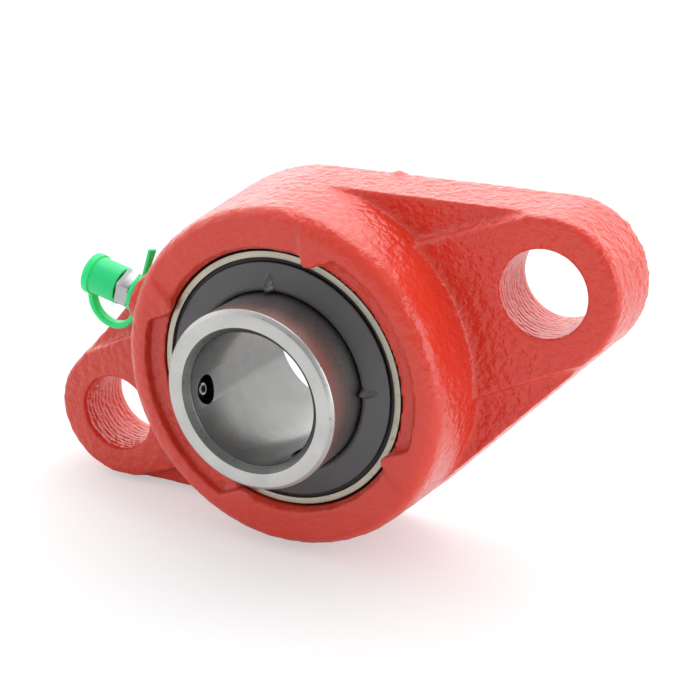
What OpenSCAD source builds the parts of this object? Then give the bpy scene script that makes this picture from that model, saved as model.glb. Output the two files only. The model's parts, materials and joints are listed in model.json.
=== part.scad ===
// Two-bolt flanged bearing unit: a ball insert with a spherical outer ring in a rhombic cast housing.
// Each piece is drawn with the shaft axis up, the mounting face at height 0 and the lugs along X.
// stand() then turns it to its own frame: shaft axis along Y, unit standing on its lower edge.

/* [Housing] */
// Distance between the two bolt holes
bolt_pitch = 99; // [95:0.5:105]
// Diameter of each bolt hole
bolt_hole_d = 16; // [12:0.5:17]
// Radius of the hub at the mounting face
hub_r = 34.5; // [34:0.1:37]
// Radius of each lug at the mounting face
lug_r = 14.8; // [13.5:0.1:16]
// Height of the lug pads above the mounting face
pad_h = 13.6; // [12.5:0.1:15]
// Depth of the pockets on both sides of a pad, below the pad's top
pocket_depth = 2; // [0.5:0.1:4]
// Sideways slope of a pad's flank over the pocket depth
pad_flank = 0.9; // [0.2:0.1:1.5]
// Angle by which a pad widens towards the hub, in degrees
pad_flare = 2.8; // [0:0.1:5]
// Height of the front ring above the bearing's outer ring
nose_over = 2.2; // [1:0.1:4]
// Draft of the cast side walls, in degrees
draft = 4.8; // [2:0.1:6]
// Rounding of the front ring's outer edge
nose_round = 3.2; // [0.5:0.1:4]
// Rounding of the flange's front edge
edge_round = 1; // [0.4:0.1:2]

/* [Front ring] */
// Radius of the two side recesses
recess_r = 27.7; // [26.2:0.1:29]
// Width of the two side recesses across the lugs
recess_w = 35.6; // [30:0.1:38]
// Depth of the two side recesses
recess_depth = 1.9; // [0.5:0.1:2.2]
// Depth of the two label pads, which are bare here
label_depth = 0.5; // [0.2:0.1:1]
// Half width of a label pad at its inner end
label_half_w = 14.3; // [13:0.1:17]
// Angle by which each end of a label pad leans outwards, in degrees
label_lean = 22; // [10:1:30]
// Distance by which the seat's edge is cut back at the label pads
label_cut = 0.8; // [0.2:0.1:1.4]

/* [Seat] */
// Height of the bearing's centre above the mounting face
seat_z = 16.3; // [15.5:0.1:17]
// Running gap between the outer ring and the spherical seat
seat_clear = 0.05; // [0.02:0.01:0.1]
// Step from the seat's rear edge to the bore behind it
back_step = 0.1; // [0.02:0.02:0.5]
// Gap on each side of the ring in the loading slots
slot_clear = 0.3; // [0.1:0.05:0.6]
// Width of the grease groove in the seat
groove_w = 5.6; // [3:0.1:8]
// Depth of the grease groove in the seat
groove_depth = 0.6; // [0.3:0.1:1]

/* [Insert] */
// Diameter of the shaft bore
bore_d = 25; // [20:0.5:26]
// Spherical diameter of the outer ring
outer_d = 52; // [51.8:0.05:52.4]
// Width of the outer ring
outer_w = 17; // [16.5:0.1:18]
// Chamfer between the outer ring's faces and its sphere
ring_chamfer = 0.3; // [0.1:0.05:0.8]
// Thickness of the outer ring at its shoulders
land_wall = 4.3; // [4:0.05:5]
// Depth of the seal seats, outwards from the outer ring's shoulders
seal_seat_step = 1.45; // [1:0.05:1.8]
// Depth of each seal seat from the outer ring's face
seal_seat_depth = 2.6; // [2.4:0.05:2.8]
// Distance from the ball circle in to the inner ring's outside
inner_shoulder = 2.35; // [2.2:0.05:3]
// Length of the inner ring
inner_w = 34.1; // [33:0.1:36]
// Length of the inner ring behind the bearing's centre
inner_back = 14.3; // [13.5:0.1:15]
// Chamfer at the front end of the shaft bore
bore_chamfer = 1.2; // [0.4:0.1:1.5]
// Chamfer at the rear end of the shaft bore
rear_chamfer = 0.5; // [0.3:0.1:1.5]
// Chamfer at both outer ends of the inner ring
inner_chamfer = 0.7; // [0.3:0.1:1]
// Diameter of each ball
ball_d = 7.938; // [7.5:0.01:8.2]
// Radius that the race sections have over the ball radius
race_over = 0.16; // [0.08:0.01:0.3]
// Running gap between a ball and its races
ball_clear = 0.03; // [0.01:0.01:0.06]

/* [Cage] */
// Thickness of the cage's pressed sheet
cage_t = 0.6; // [0.4:0.05:0.8]
// Gap between the cage and the shoulders of both rings
cage_side_gap = 0.5; // [0.3:0.05:1.4]
// Gap between a ball and its pocket
pocket_clear = 0.15; // [0.05:0.05:0.25]
// Diameter of each cage rivet
rivet_d = 1.2; // [0.8:0.1:1.4]
// Height and overhang of a rivet's heads
rivet_head = 0.4; // [0.2:0.1:0.5]

/* [Seals] */
// Thickness of the seal's steel core
seal_core_t = 0.6; // [0.4:0.05:0.8]
// Thickness of the rubber on the core
seal_rubber_t = 0.8; // [0.5:0.05:1]
// Depth of the seal's rubber rim below the outer ring's face
seal_rim_drop = 0.5; // [0.1:0.05:0.6]
// Gap between the seal lip and the inner ring
lip_clear = 0.05; // [0.02:0.01:0.1]
// Thickness of the pressed flinger
flinger_t = 0.5; // [0.4:0.05:0.7]
// Gap round the flinger, inside the seal seat
flinger_side_gap = 0.8; // [0.5:0.05:1.2]
// Gap between the flinger's rim and the seal's rim
flinger_gap = 0.25; // [0.15:0.05:0.6]
// Rise of the flinger from its rim to its inner bend
flinger_rise = 0.95; // [0.4:0.05:1.2]
// Length of the flinger's four pressed ribs
rib_len = 2.8; // [1.5:0.1:3.2]
// Angle of the first rib from the long axis, in degrees
rib_angle = 70; // [0:1:89]

/* [Set screws] */
// Thread diameter of the set screws
screw_d = 5; // [5:0.5:6]
// Length of a set screw
screw_len = 3.8; // [3:0.1:4.2]
// Distance of the set screws from the inner ring's front face
screw_from_face = 5.8; // [5:0.1:6.5]
// Angle of the first set screw from the long axis, in degrees
screw_angle = 165.7; // [120:0.1:200]
// Angle between the two set screws, in degrees
screw_spread = 120; // [62:1:120]
// Depth of the screw's tip below the bore's surface at rest
screw_sink = 0.5; // [0.3:0.1:0.8]
// Key size of the screw's hexagon socket
screw_key = 2.5; // [2.5:0.5:3]
// Gap between a thread and its hole
thread_clear = 0.05; // [0.02:0.01:0.08]

/* [Grease nipple] */
// Angle of the nipple from the long axis, in degrees
nipple_angle = 142.2; // [135:0.1:150]
// Height of the nipple above the bearing's centre
nipple_lift = 0.9; // [0:0.1:2]
// Height of the nipple's cast boss above the hub's wall
boss_stand = 2.54; // [1:0.02:4]
// Diameter of the cast boss under the nipple
boss_d = 10; // [9:0.1:11]
// Thread diameter of the nipple
nipple_thread_d = 6; // [5:0.5:6]
// Length of the nipple's thread inside the housing
nipple_thread_len = 5; // [4:0.1:6]
// Width across the flats of the nipple's hexagon
hex_w = 7; // [6.5:0.1:8]
// Height of the nipple's hexagon
hex_h = 2.8; // [2.5:0.1:4]
// Length of the nipple past its hexagon
head_len = 6.1; // [5:0.1:7]
// Diameter of the nipple's head
head_d = 6.5; // [6:0.1:6.6]
// Diameter of the check ball
check_ball_d = 2.2; // [1.8:0.1:2.4]
// Diameter of the nipple's filling hole
fill_hole_d = 1.6; // [1:0.1:1.7]

/* [Grease cap] */
// Wall of the plastic cap around the nipple's head
cap_wall = 0.4; // [0.3:0.05:0.8]
// Gap between the cap and the nipple's head
cap_clear = 0.08; // [0.05:0.01:0.15]
// Gap between the cap's mouth and the hexagon
cap_lift = 0.3; // [0.1:0.05:0.6]
// Thickness of the cap's end disc
disc_t = 1.5; // [1:0.1:2]
// Overhang of the end disc past the cap's wall
disc_lip = 0.4; // [0.2:0.1:0.8]
// Thickness of the strap's ring under the hexagon
neck_ring_t = 1.2; // [1:0.1:2]
// Outer diameter of the strap's ring
neck_ring_d = 7.9; // [7.6:0.1:10]
// Thickness of the strap
strap_t = 1.2; // [0.8:0.1:1.2]
// Width of the strap
strap_w = 2.2; // [1.5:0.1:3]
// Gap between the strap's end and the cap's disc
strap_gap = 0.1; // [0.05:0.05:0.2]
// Length of the pull tab from the nipple's axis
tab_len = 9.2; // [7:0.1:10]
// Angle by which the tab leans towards the mounting face, in degrees
tab_lean = 12; // [0:1:20]

/* [Hidden] */
$fn = 96;

ball_count = 9;
rib_count = 4;
edge_steps = 4;
past = 1; // how far a cutter runs past the face that it cuts
side_inset = 0.05; // how far the flange's flat sides lie inside the common tangents
boss_root = 2; // how far the nipple's boss starts outside the seat

paint_red = "#d8483c";
steel = "#c4c4c0";
bright_steel = "#d8d8d6";
dark_steel = "#4b4b4d";
black_rubber = "#1c1c1d";
zinc = "#cdd0d2";
green_plastic = "#2fe585";

// How much a drafted wall comes in for each millimetre of height
taper = tan(draft);
// Angle at which the flange's lower edge lies level
lean = asin((hub_r - lug_r) / (bolt_pitch / 2));
bore_r = bore_d / 2;
outer_r = outer_d / 2;
ball_r = ball_d / 2;
// The ball circle lies halfway between the bore and the outer ring's outside
pitch_r = (bore_r + outer_r) / 2;
inner_r = pitch_r - inner_shoulder;
land_r = outer_r - land_wall;
seal_seat_r = land_r + seal_seat_step;
flinger_r = seal_seat_r - flinger_side_gap;
race_r = ball_r + race_over;
inner_race_r = pitch_r - ball_r - ball_clear + race_r;
outer_race_r = pitch_r + ball_r + ball_clear - race_r;
seat_r = outer_r + seat_clear;
front_z = inner_w - inner_back;
screw_z = seat_z + front_z - screw_from_face;
screw_hole_r = screw_d / 2;
pocket_r = ball_r + pocket_clear;
rivet_r = rivet_d / 2;

// Heights in the insert, counted from the bearing's centre
face_h = outer_w / 2;
core_bottom = face_h - seal_seat_depth + lip_clear;
core_top = core_bottom + seal_core_t;
rubber_top = core_top + seal_rubber_t;
rim_top = face_h - seal_rim_drop;
flinger_low = rim_top + flinger_gap;
seal_out_r = seal_seat_r - lip_clear;
bend_r = inner_r + 2 * flinger_t;

// Heights above the mounting face
ring_face_z = seat_z + face_h;
nose_h = ring_face_z + nose_over;
nipple_z = seat_z + nipple_lift;

function wall_r(r, height) = r - taper * height;

// Distances along the nipple's axis, counted from the shaft axis
boss_reach = wall_r(hub_r, nipple_z) + boss_stand;
hex_low = boss_reach + neck_ring_t + 2 * strap_gap;
hex_top = hex_low + hex_h;
head_top = hex_top + head_len;
check_r = check_ball_d / 2;
head_r = head_d / 2;
cap_in_r = head_r + cap_clear;
cap_out_r = cap_in_r + cap_wall;
mouth = hex_top + cap_lift;
disc_low = head_top + cap_clear;
disc_r = cap_out_r + disc_lip;
neck_r = nipple_thread_d / 2;
ring_mid = boss_reach + strap_gap + neck_ring_t / 2;
// The strap is an arc in the plane of the two axes, from inside the neck ring to the disc's edge
strap_short = 10; // how far the arc stops before a half turn, in degrees
strap_mid_r = (disc_low + disc_t / 2 - ring_mid) / (1 + cos(strap_short));
strap_side = disc_r + strap_gap - (strap_mid_r - strap_t / 2) * sin(strap_short);
strap_centre = ring_mid + strap_mid_r;
tab_root_w = strap_w * 0.55;

// The check ball and its spring, inside the nipple
check_ball_at = head_top - 2 * check_r - thread_clear;
spring_wire_r = 0.14;
spring_turns = 5;
spring_steps = 12;
spring_sides = 6;

// The front edge of the seat is cut back to a cone at the label pads
seat_edge_r = sqrt(pow(seat_r, 2) - pow(face_h, 2));
label_cut_slope = label_cut / (nose_over - label_depth);
back_bore_r = seat_edge_r + back_step;

// Half of a drafted wall's section with a rounded top edge, from the middle outwards
function drafted_section(r, height, round_r) = [
    [0, 0],
    [r, 0],
    for (i = [0 : edge_steps])
        let (turn = draft + (90 - draft) * i / edge_steps)
            [wall_r(r, height - round_r) - round_r + round_r * cos(turn), height - round_r + round_r * sin(turn)],
    [0, height]
];

// Turns a piece drawn with the shaft axis up to the unit's own frame
module stand() rotate([0, -lean, 0]) rotate([90, 0, 0]) children();

// Places a piece on the bearing's centre
module at_centre() stand() translate([0, 0, seat_z]) children();

// Points a piece outwards from the shaft axis, its Y across and its X towards the mounting face
module outwards(angle, height) stand() translate([0, 0, height]) rotate([0, 0, angle]) rotate([0, 90, 0]) children();

module nipple_axis() outwards(nipple_angle, nipple_z) children();

module tube(r_in, r_out, low, high)
    rotate_extrude() translate([r_in, low]) square([r_out - r_in, high - low]);

// Copies a piece at every ball, or halfway between the balls with a half step
module at_balls(shift)
    for (i = [0 : ball_count - 1]) rotate([0, 0, 360 * (i + shift) / ball_count]) translate([pitch_r, 0, 0]) children();

// One side of the flange from the hub to a lug, as a bar along the common tangent
module edge_bar()
    rotate([0, 0, -lean]) rotate([90, 0, 90])
        linear_extrude(bolt_pitch / 2 * cos(lean)) polygon(drafted_section(hub_r - side_inset, pad_h, edge_round));

module lug()
    translate([bolt_pitch / 2, 0, 0]) rotate_extrude() polygon(drafted_section(lug_r, pad_h, edge_round));

// The hollow beside a pad: everything outside the pad's flank, down to the pocket's floor
module pocket() {
    top_half = wall_r(lug_r, pad_h);
    floor_h = pad_h - pocket_depth;
    translate([bolt_pitch / 2, 0, 0]) rotate([0, 0, -pad_flare]) rotate([90, 0, 90])
        translate([0, 0, -bolt_pitch]) linear_extrude(2 * bolt_pitch) polygon([
            [top_half + pad_flank, floor_h],
            [top_half, pad_h],
            [top_half - pad_flank * past / pocket_depth, pad_h + past],
            [2 * hub_r, pad_h + past],
            [2 * hub_r, floor_h]
        ]);
}

module flange() {
    for (turn = [0, 180]) rotate([0, 0, turn]) difference() {
        union() {
            lug();
            for (side = [0, 1]) mirror([0, side, 0]) edge_bar();
        }
        for (side = [0, 1]) mirror([0, side, 0]) pocket();
        translate([-hub_r, -2 * hub_r, -past]) cube([hub_r, 4 * hub_r, pad_h + 2 * past]);
    }
}

module hub() rotate_extrude() polygon(drafted_section(hub_r, nose_h, nose_round));

// The two side recesses in the front ring, a round-ended band across it
module side_recesses()
    translate([0, 0, nose_h - recess_depth]) linear_extrude(recess_depth + past) intersection() {
        circle(r = recess_r);
        square([3 * recess_r, recess_w], center = true);
    }

// The sector of one label pad, wider towards its outer end
module label_sector() {
    reach = hub_r + past - recess_w / 2;
    polygon([
        [-label_half_w, recess_w / 2],
        [label_half_w, recess_w / 2],
        [label_half_w + reach * tan(label_lean), recess_w / 2 + reach],
        [-label_half_w - reach * tan(label_lean), recess_w / 2 + reach]
    ]);
}

module label_pads()
    for (side = [0, 1]) mirror([0, side, 0]) {
        translate([0, 0, nose_h - label_depth]) linear_extrude(label_depth + past) label_sector();
        translate([0, 0, ring_face_z]) intersection() {
            cut_h = nose_h + past - ring_face_z;
            linear_extrude(nose_h) label_sector();
            cylinder(r1 = seat_edge_r, r2 = seat_edge_r + label_cut_slope * cut_h, h = cut_h);
        }
    }

// The spherical seat, the bore behind it, the two loading slots and the grease groove
module seat_hollow() {
    translate([0, 0, seat_z]) sphere(r = seat_r);
    translate([0, 0, -past]) cylinder(r = back_bore_r, h = seat_z - face_h + past);
    translate([0, 0, -past]) intersection() {
        cylinder(r = seat_r + slot_clear, h = seat_z + past);
        translate([-2 * hub_r, -face_h - slot_clear, 0]) cube([4 * hub_r, outer_w + 2 * slot_clear, seat_z + past]);
    }
    tube(pitch_r, seat_r + groove_depth, nipple_z - groove_w / 4, nipple_z + groove_w * 3 / 4);
}

module housing() color(paint_red) {
    difference() {
        stand() union() {
            hub();
            flange();
            translate([0, 0, nipple_z]) rotate([0, 0, nipple_angle]) rotate([0, 90, 0])
                translate([0, 0, seat_r + boss_root]) cylinder(d = boss_d, h = boss_reach - seat_r - boss_root);
        }
        stand() seat_hollow();
        stand() side_recesses();
        stand() label_pads();
        stand() for (side = [-1, 1])
            translate([side * bolt_pitch / 2, 0, -past]) cylinder(d = bolt_hole_d, h = pad_h + 2 * past);
        nipple_axis() {
            translate([0, 0, boss_reach - nipple_thread_len - past])
                cylinder(r = neck_r, h = nipple_thread_len + 2 * past);
            translate([0, 0, pitch_r]) cylinder(d = fill_hole_d, h = boss_reach - pitch_r);
        }
    }
}

module outer_ring() color(steel) at_centre() difference() {
    flat_r = sqrt(pow(outer_r, 2) - pow(face_h, 2)) - ring_chamfer;
    side_h = face_h - (outer_r - flat_r);
    rotate_extrude() difference() {
        intersection() {
            circle(r = outer_r);
            polygon([
                [land_r, -face_h],
                [flat_r, -face_h],
                [outer_r, -side_h],
                [outer_r, side_h],
                [flat_r, face_h],
                [land_r, face_h]
            ]);
        }
        for (side = [0, 1]) mirror([0, side])
            translate([land_r - past, face_h - seal_seat_depth])
                square([seal_seat_r - land_r + past, seal_seat_depth + past]);
        translate([outer_race_r, 0]) circle(r = race_r);
    }
    // Grease hole between the race and the front seal
    hole_r = 0.7;
    translate([0, 0, (race_r + face_h - seal_seat_depth) / 2]) rotate([0, 90, nipple_angle])
        cylinder(r = hole_r, h = outer_d);
}

module seal_core() tube(inner_r + 4 * lip_clear + seal_core_t, seal_out_r, core_bottom, core_top);

// The rubber covers the core's outside, fills the seat to its rim and ends in a lip on the inner ring
module seal_lip() {
    lip_r = inner_r + lip_clear;
    rotate_extrude() polygon([
        [lip_r, core_bottom],
        [lip_r + seal_core_t / 2, core_bottom],
        [lip_r + seal_core_t, core_top],
        [seal_out_r, core_top],
        [seal_out_r, rim_top],
        [seal_out_r - seal_rubber_t, rim_top],
        [seal_out_r - 2 * seal_rubber_t, rubber_top],
        [lip_r + seal_core_t, rubber_top],
        [lip_r, core_top]
    ]);
}

module at_front() at_centre() children();
module at_back() at_centre() mirror([0, 0, 1]) children();

module inner_ring() color(bright_steel) difference() {
    at_centre() rotate_extrude() difference() {
        polygon([
            [bore_r, rear_chamfer - inner_back],
            [bore_r + rear_chamfer, -inner_back],
            [inner_r - inner_chamfer, -inner_back],
            [inner_r, inner_chamfer - inner_back],
            [inner_r, front_z - inner_chamfer],
            [inner_r - inner_chamfer, front_z],
            [bore_r + bore_chamfer, front_z],
            [bore_r, front_z - bore_chamfer]
        ]);
        translate([inner_race_r, 0]) circle(r = race_r);
    }
    for (i = [0, 1]) outwards(screw_angle + i * screw_spread, screw_z) cylinder(r = screw_hole_r, h = outer_d);
}

// A pressed steel ring that dishes down from its inner bend to its rim
module flinger() {
    collar_r = inner_r + lip_clear / 2;
    bend_h = flinger_low + flinger_rise + flinger_t;
    rotate_extrude() polygon([
        [collar_r, flinger_low],
        [collar_r + flinger_t, flinger_low],
        [bend_r + flinger_t / 2, bend_h - flinger_t],
        [flinger_r, flinger_low],
        [flinger_r, flinger_low + flinger_t],
        [bend_r, bend_h],
        [collar_r, bend_h - flinger_t]
    ]);
    slope = atan(flinger_rise / (flinger_r - bend_r));
    for (i = [0 : rib_count - 1])
        rotate([0, 0, rib_angle + 360 * i / rib_count]) translate([bend_r, 0, bend_h - flinger_t / 2])
            rotate([0, 90 + slope, 0]) cylinder(r1 = flinger_t * 1.3, r2 = flinger_t / 2, h = rib_len);
}

// A black screw with a hexagon socket outside and a cup point on the shaft
module set_screw(turn) color(dark_steel)
    outwards(screw_angle + turn * screw_spread, screw_z) translate([0, 0, bore_r + screw_sink]) difference() {
        r = screw_hole_r - thread_clear;
        rotate_extrude() polygon([
            [0, r / 6],
            [r / 3, 0],
            [r / 2, 0],
            [r, r / 2],
            [r, screw_len],
            [0, screw_len]
        ]);
        translate([0, 0, screw_len / 2]) cylinder(d = screw_key / cos(30), h = screw_len, $fn = 6);
    }

// Half of the cage above the ball plane: flat webs between pockets that are pressed round the balls
module cage_half() difference() {
    intersection() {
        tube(inner_r + cage_side_gap, land_r - cage_side_gap, 0, ball_d);
        union() {
            cylinder(r = outer_r, h = cage_t);
            at_balls(0) sphere(r = pocket_r + cage_t);
        }
    }
    at_balls(0) sphere(r = pocket_r);
    at_balls(0.5) cylinder(r = rivet_r + thread_clear / 2, h = ball_d, center = true);
}

module cage_rivets() color(bright_steel) at_centre() at_balls(0.5) {
    cylinder(r = rivet_r, h = 2 * cage_t, center = true);
    for (side = [0, 1]) mirror([0, 0, side])
        translate([0, 0, cage_t]) cylinder(r = rivet_r + rivet_head, h = rivet_head);
}

module ball(number) color(bright_steel)
    at_centre() rotate([0, 0, 360 * (number - 1) / ball_count]) translate([pitch_r, 0, 0]) sphere(r = ball_r);

module grease_nipple() color(zinc) nipple_axis() difference() {
    union() {
        translate([0, 0, boss_reach - nipple_thread_len])
            cylinder(r = neck_r - thread_clear, h = nipple_thread_len + hex_low - boss_reach);
        translate([0, 0, hex_low]) cylinder(d = hex_w / cos(30), h = hex_h, $fn = 6);
        rotate_extrude() polygon([
            [0, hex_top],
            [head_r * 0.75, hex_top],
            [head_r * 0.6, hex_top + head_len * 0.3],
            [head_r, hex_top + head_len * 0.5],
            [head_r, hex_top + head_len * 0.7],
            [head_r * 0.55, head_top],
            [0, head_top]
        ]);
    }
    cylinder(d = fill_hole_d, h = head_top + past);
    translate([0, 0, hex_low]) cylinder(r = check_r + thread_clear, h = head_top - hex_low - check_r);
}

module nipple_ball() color(bright_steel) nipple_axis() translate([0, 0, check_ball_at]) sphere(r = check_r);

// Points of one wire section of the check spring, at a place along the coil
function wire_section(step, coil_r, rise) = [
    for (s = [0 : spring_sides - 1])
        let (along = 360 * step / spring_steps, round_wire = 360 * s / spring_sides)
            let (r = coil_r + spring_wire_r * cos(round_wire))
                [r * cos(along), r * sin(along), rise * step / spring_steps + spring_wire_r * sin(round_wire)]
];

module nipple_spring() color(bright_steel) {
    coil_r = check_r - 2 * spring_wire_r;
    spring_len = check_ball_at - check_r - hex_low - 3 * spring_wire_r;
    last = spring_turns * spring_steps;
    points = [for (step = [0 : last]) each wire_section(step, coil_r, spring_len / spring_turns)];
    faces = [
        [for (s = [0 : spring_sides - 1]) s],
        for (step = [0 : last - 1], s = [0 : spring_sides - 1])
            let (a = step * spring_sides + s, b = step * spring_sides + (s + 1) % spring_sides)
                [b, a, a + spring_sides, b + spring_sides],
        [for (s = [spring_sides - 1 : -1 : 0]) last * spring_sides + s]
    ];
    nipple_axis() translate([0, 0, hex_low + 2 * spring_wire_r]) polyhedron(points, faces);
}

module nipple_cap() color(green_plastic) nipple_axis() {
    tube(cap_in_r, cap_out_r, mouth, disc_low + disc_t / 2);
    translate([0, 0, disc_low]) cylinder(r = disc_r, h = disc_t);
}

// The neck ring under the hexagon, the strap that loops from it to the cap, and the pull tab
module cap_strap() color(green_plastic) nipple_axis() {
    tube(neck_r + strap_gap, neck_ring_d / 2, ring_mid - neck_ring_t / 2, ring_mid + neck_ring_t / 2);
    translate([0, strap_side, strap_centre]) rotate([0, 90, 0])
        rotate_extrude(angle = 180 - strap_short)
            translate([strap_mid_r - strap_t / 2, -strap_w / 2]) square([strap_t, strap_w]);
    translate([0, 0, ring_mid - strap_t / 3]) rotate([0, 0, tab_lean]) linear_extrude(strap_t * 2 / 3) polygon([
        [-strap_w / 2, -tab_len],
        [strap_w / 2, -tab_len],
        [tab_root_w / 2, -neck_r - 2 * strap_gap],
        [-tab_root_w / 2, -neck_r - 2 * strap_gap]
    ]);
}

housing();
grease_nipple();
nipple_ball();
nipple_spring();
nipple_cap();
cap_strap();
outer_ring();
color(steel) at_front() seal_core();  // seal_core_front
color(black_rubber) at_front() seal_lip();  // seal_lip_front
color(steel) at_back() seal_core();  // seal_core_back
color(black_rubber) at_back() seal_lip();  // seal_lip_back
inner_ring();
color(dark_steel) at_front() flinger();  // flinger_front
color(dark_steel) at_back() flinger();  // flinger_back
set_screw(0);  // set_screw_1
set_screw(1);  // set_screw_2
color(steel) at_front() cage_half();  // cage_front
color(steel) at_back() cage_half();  // cage_back
cage_rivets();
ball(1);  // ball_1
ball(2);  // ball_2
ball(3);  // ball_3
ball(4);  // ball_4
ball(5);  // ball_5
ball(6);  // ball_6
ball(7);  // ball_7
ball(8);  // ball_8
ball(9);  // ball_9
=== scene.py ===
"""A two-bolt flanged bearing unit: red cast housing, ball insert with set screws, grease nipple under a green cap."""

import json
import math

import bmesh
import bpy
from mathutils import Matrix, Vector, noise


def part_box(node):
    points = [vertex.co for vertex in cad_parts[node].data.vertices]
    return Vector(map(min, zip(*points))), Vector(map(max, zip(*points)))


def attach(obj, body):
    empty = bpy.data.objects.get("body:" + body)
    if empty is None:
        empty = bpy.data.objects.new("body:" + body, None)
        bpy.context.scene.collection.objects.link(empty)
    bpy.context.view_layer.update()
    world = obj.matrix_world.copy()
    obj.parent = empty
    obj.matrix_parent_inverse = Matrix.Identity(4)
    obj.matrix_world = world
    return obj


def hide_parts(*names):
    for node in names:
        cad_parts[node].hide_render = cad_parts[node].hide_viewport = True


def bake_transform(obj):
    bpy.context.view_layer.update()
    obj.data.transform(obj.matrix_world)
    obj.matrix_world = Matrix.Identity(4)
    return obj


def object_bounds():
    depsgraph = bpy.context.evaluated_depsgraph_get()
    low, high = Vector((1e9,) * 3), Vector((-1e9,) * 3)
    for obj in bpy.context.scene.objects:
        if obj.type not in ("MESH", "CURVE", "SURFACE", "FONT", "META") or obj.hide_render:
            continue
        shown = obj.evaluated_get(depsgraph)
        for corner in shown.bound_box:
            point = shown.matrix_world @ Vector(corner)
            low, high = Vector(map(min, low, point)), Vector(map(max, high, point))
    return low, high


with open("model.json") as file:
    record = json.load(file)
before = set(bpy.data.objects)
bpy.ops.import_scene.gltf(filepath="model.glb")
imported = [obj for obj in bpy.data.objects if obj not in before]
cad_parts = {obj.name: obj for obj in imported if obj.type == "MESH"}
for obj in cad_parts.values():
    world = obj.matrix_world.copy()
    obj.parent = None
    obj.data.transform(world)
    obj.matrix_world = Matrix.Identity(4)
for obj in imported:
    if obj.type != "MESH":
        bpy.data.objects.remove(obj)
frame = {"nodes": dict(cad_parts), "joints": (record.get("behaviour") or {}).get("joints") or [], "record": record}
cad_low, cad_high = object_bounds()
joints = {joint["name"]: joint for joint in frame["joints"]}

# Cast housing
# One grey iron sand casting with two bolt lugs. The seat, the holes and the mounting face are cut,
# then the whole casting is sprayed with thick gloss enamel, which rounds its edges and pools in its grain.
# The unit is drawn in millimetres with the shaft axis up; unit_axes stands it on its lower edge, in metres.
MM = 0.001
BOLT_PITCH = 99.0
BOLT_HOLE_R = 8.0
PAD_HEIGHT = 13.6
RIM_ROUND = 0.6
REAR_BORE_R = 24.67
REAR_BORE_TOP = 7.0
SLOT_R = 26.35
SLOT_HALF = 8.8
SLOT_TOP = 14.0
SEAT_R = 26.05
SEAT_HEIGHT = 16.3
VOXEL = 0.5
GRAIN_SIZE = 1.7
GRAIN_DEPTH = 0.11
WAVE_SIZE = 9.0
WAVE_DEPTH = 0.08
FLASH_AT = (25.2, 27.3, 0)
FLASH_R = 2.2
FLASH_HEIGHT = 0.55
DRIFT_SIZE = 14
PINHOLE_SPACING = 5
PINHOLE_SHARE = 0.45
PINHOLE_R = 0.08
PEEL_SIZE = 1.2
PAINTED_GRAIN_SIZE = 3.2
PAINT_RELIEF = 0.45
FRONT_RING_HEIGHT = 24
HUB_SHOULDER_HEIGHT = 15
FACED_HEIGHT = 1
DRILL_PITCH = 1.1
DRILL_WOBBLE = 1.5
DRILL_WOBBLE_SIZE = 6
DRILL_RELIEF = 0.16
face_mount = next(m for m in frame["record"]["mounts"] if m["name"] == "mounting_face")
lean = math.atan2(face_mount["pos_m"][2], face_mount["pos_m"][0])
unit_axes = Matrix.Rotation(-lean, 4, "Y") @ Matrix.Rotation(math.radians(90), 4, "X") @ Matrix.Scale(MM, 4)
unit_to_mm = unit_axes.inverted()


def linear(hex_colour):
    """A '#rrggbb' sRGB colour as the linear RGBA that Blender's sockets take."""
    channels = [int(hex_colour[i:i + 2], 16) / 255 for i in (1, 3, 5)]
    return [c / 12.92 if c <= 0.04045 else ((c + 0.055) / 1.055) ** 2.4 for c in channels] + [1.0]


def per_mm(size):
    """The texture scale that repeats a pattern every `size` millimetres, on coordinates in metres."""
    return 1 / (size * MM)


def add(tree, kind, inputs=None, **settings):
    """Adds a node with its settings; an input is a value, or the socket that feeds it."""
    made = tree.nodes.new(kind)
    for name, value in settings.items():
        setattr(made, name, value)
    for socket, value in (inputs or {}).items():
        if isinstance(value, bpy.types.NodeSocket):
            tree.links.new(value, made.inputs[socket])
        else:
            made.inputs[socket].default_value = value
    return made


def start_material(name):
    """An empty material with its output node and the object's own coordinates."""
    material = bpy.data.materials.new(name)
    material.use_nodes = True
    tree = material.node_tree
    tree.nodes.clear()
    output = add(tree, "ShaderNodeOutputMaterial")
    place = add(tree, "ShaderNodeTexCoord").outputs["Object"]
    return material, tree, output, place


def put_in_scene(name, data):
    """A new object in the scene that holds this mesh, lamp or camera."""
    made = bpy.data.objects.new(name, data)
    bpy.context.scene.collection.objects.link(made)
    return made


def place_piece(name, mesh, materials, body, stands_for, sharp=35):
    """Makes the finished mesh a piece of the unit: materials, shading, and the CAD nodes that it stands for hidden.
    It rides on its body, or on none when no body is given."""
    for material in materials:
        mesh.materials.append(material)
    mesh.shade_smooth()
    mesh.set_sharp_from_angle(angle=math.radians(sharp))
    piece = put_in_scene(name, mesh)
    if body:
        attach(piece, body)
    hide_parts(*stands_for)
    return piece


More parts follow.
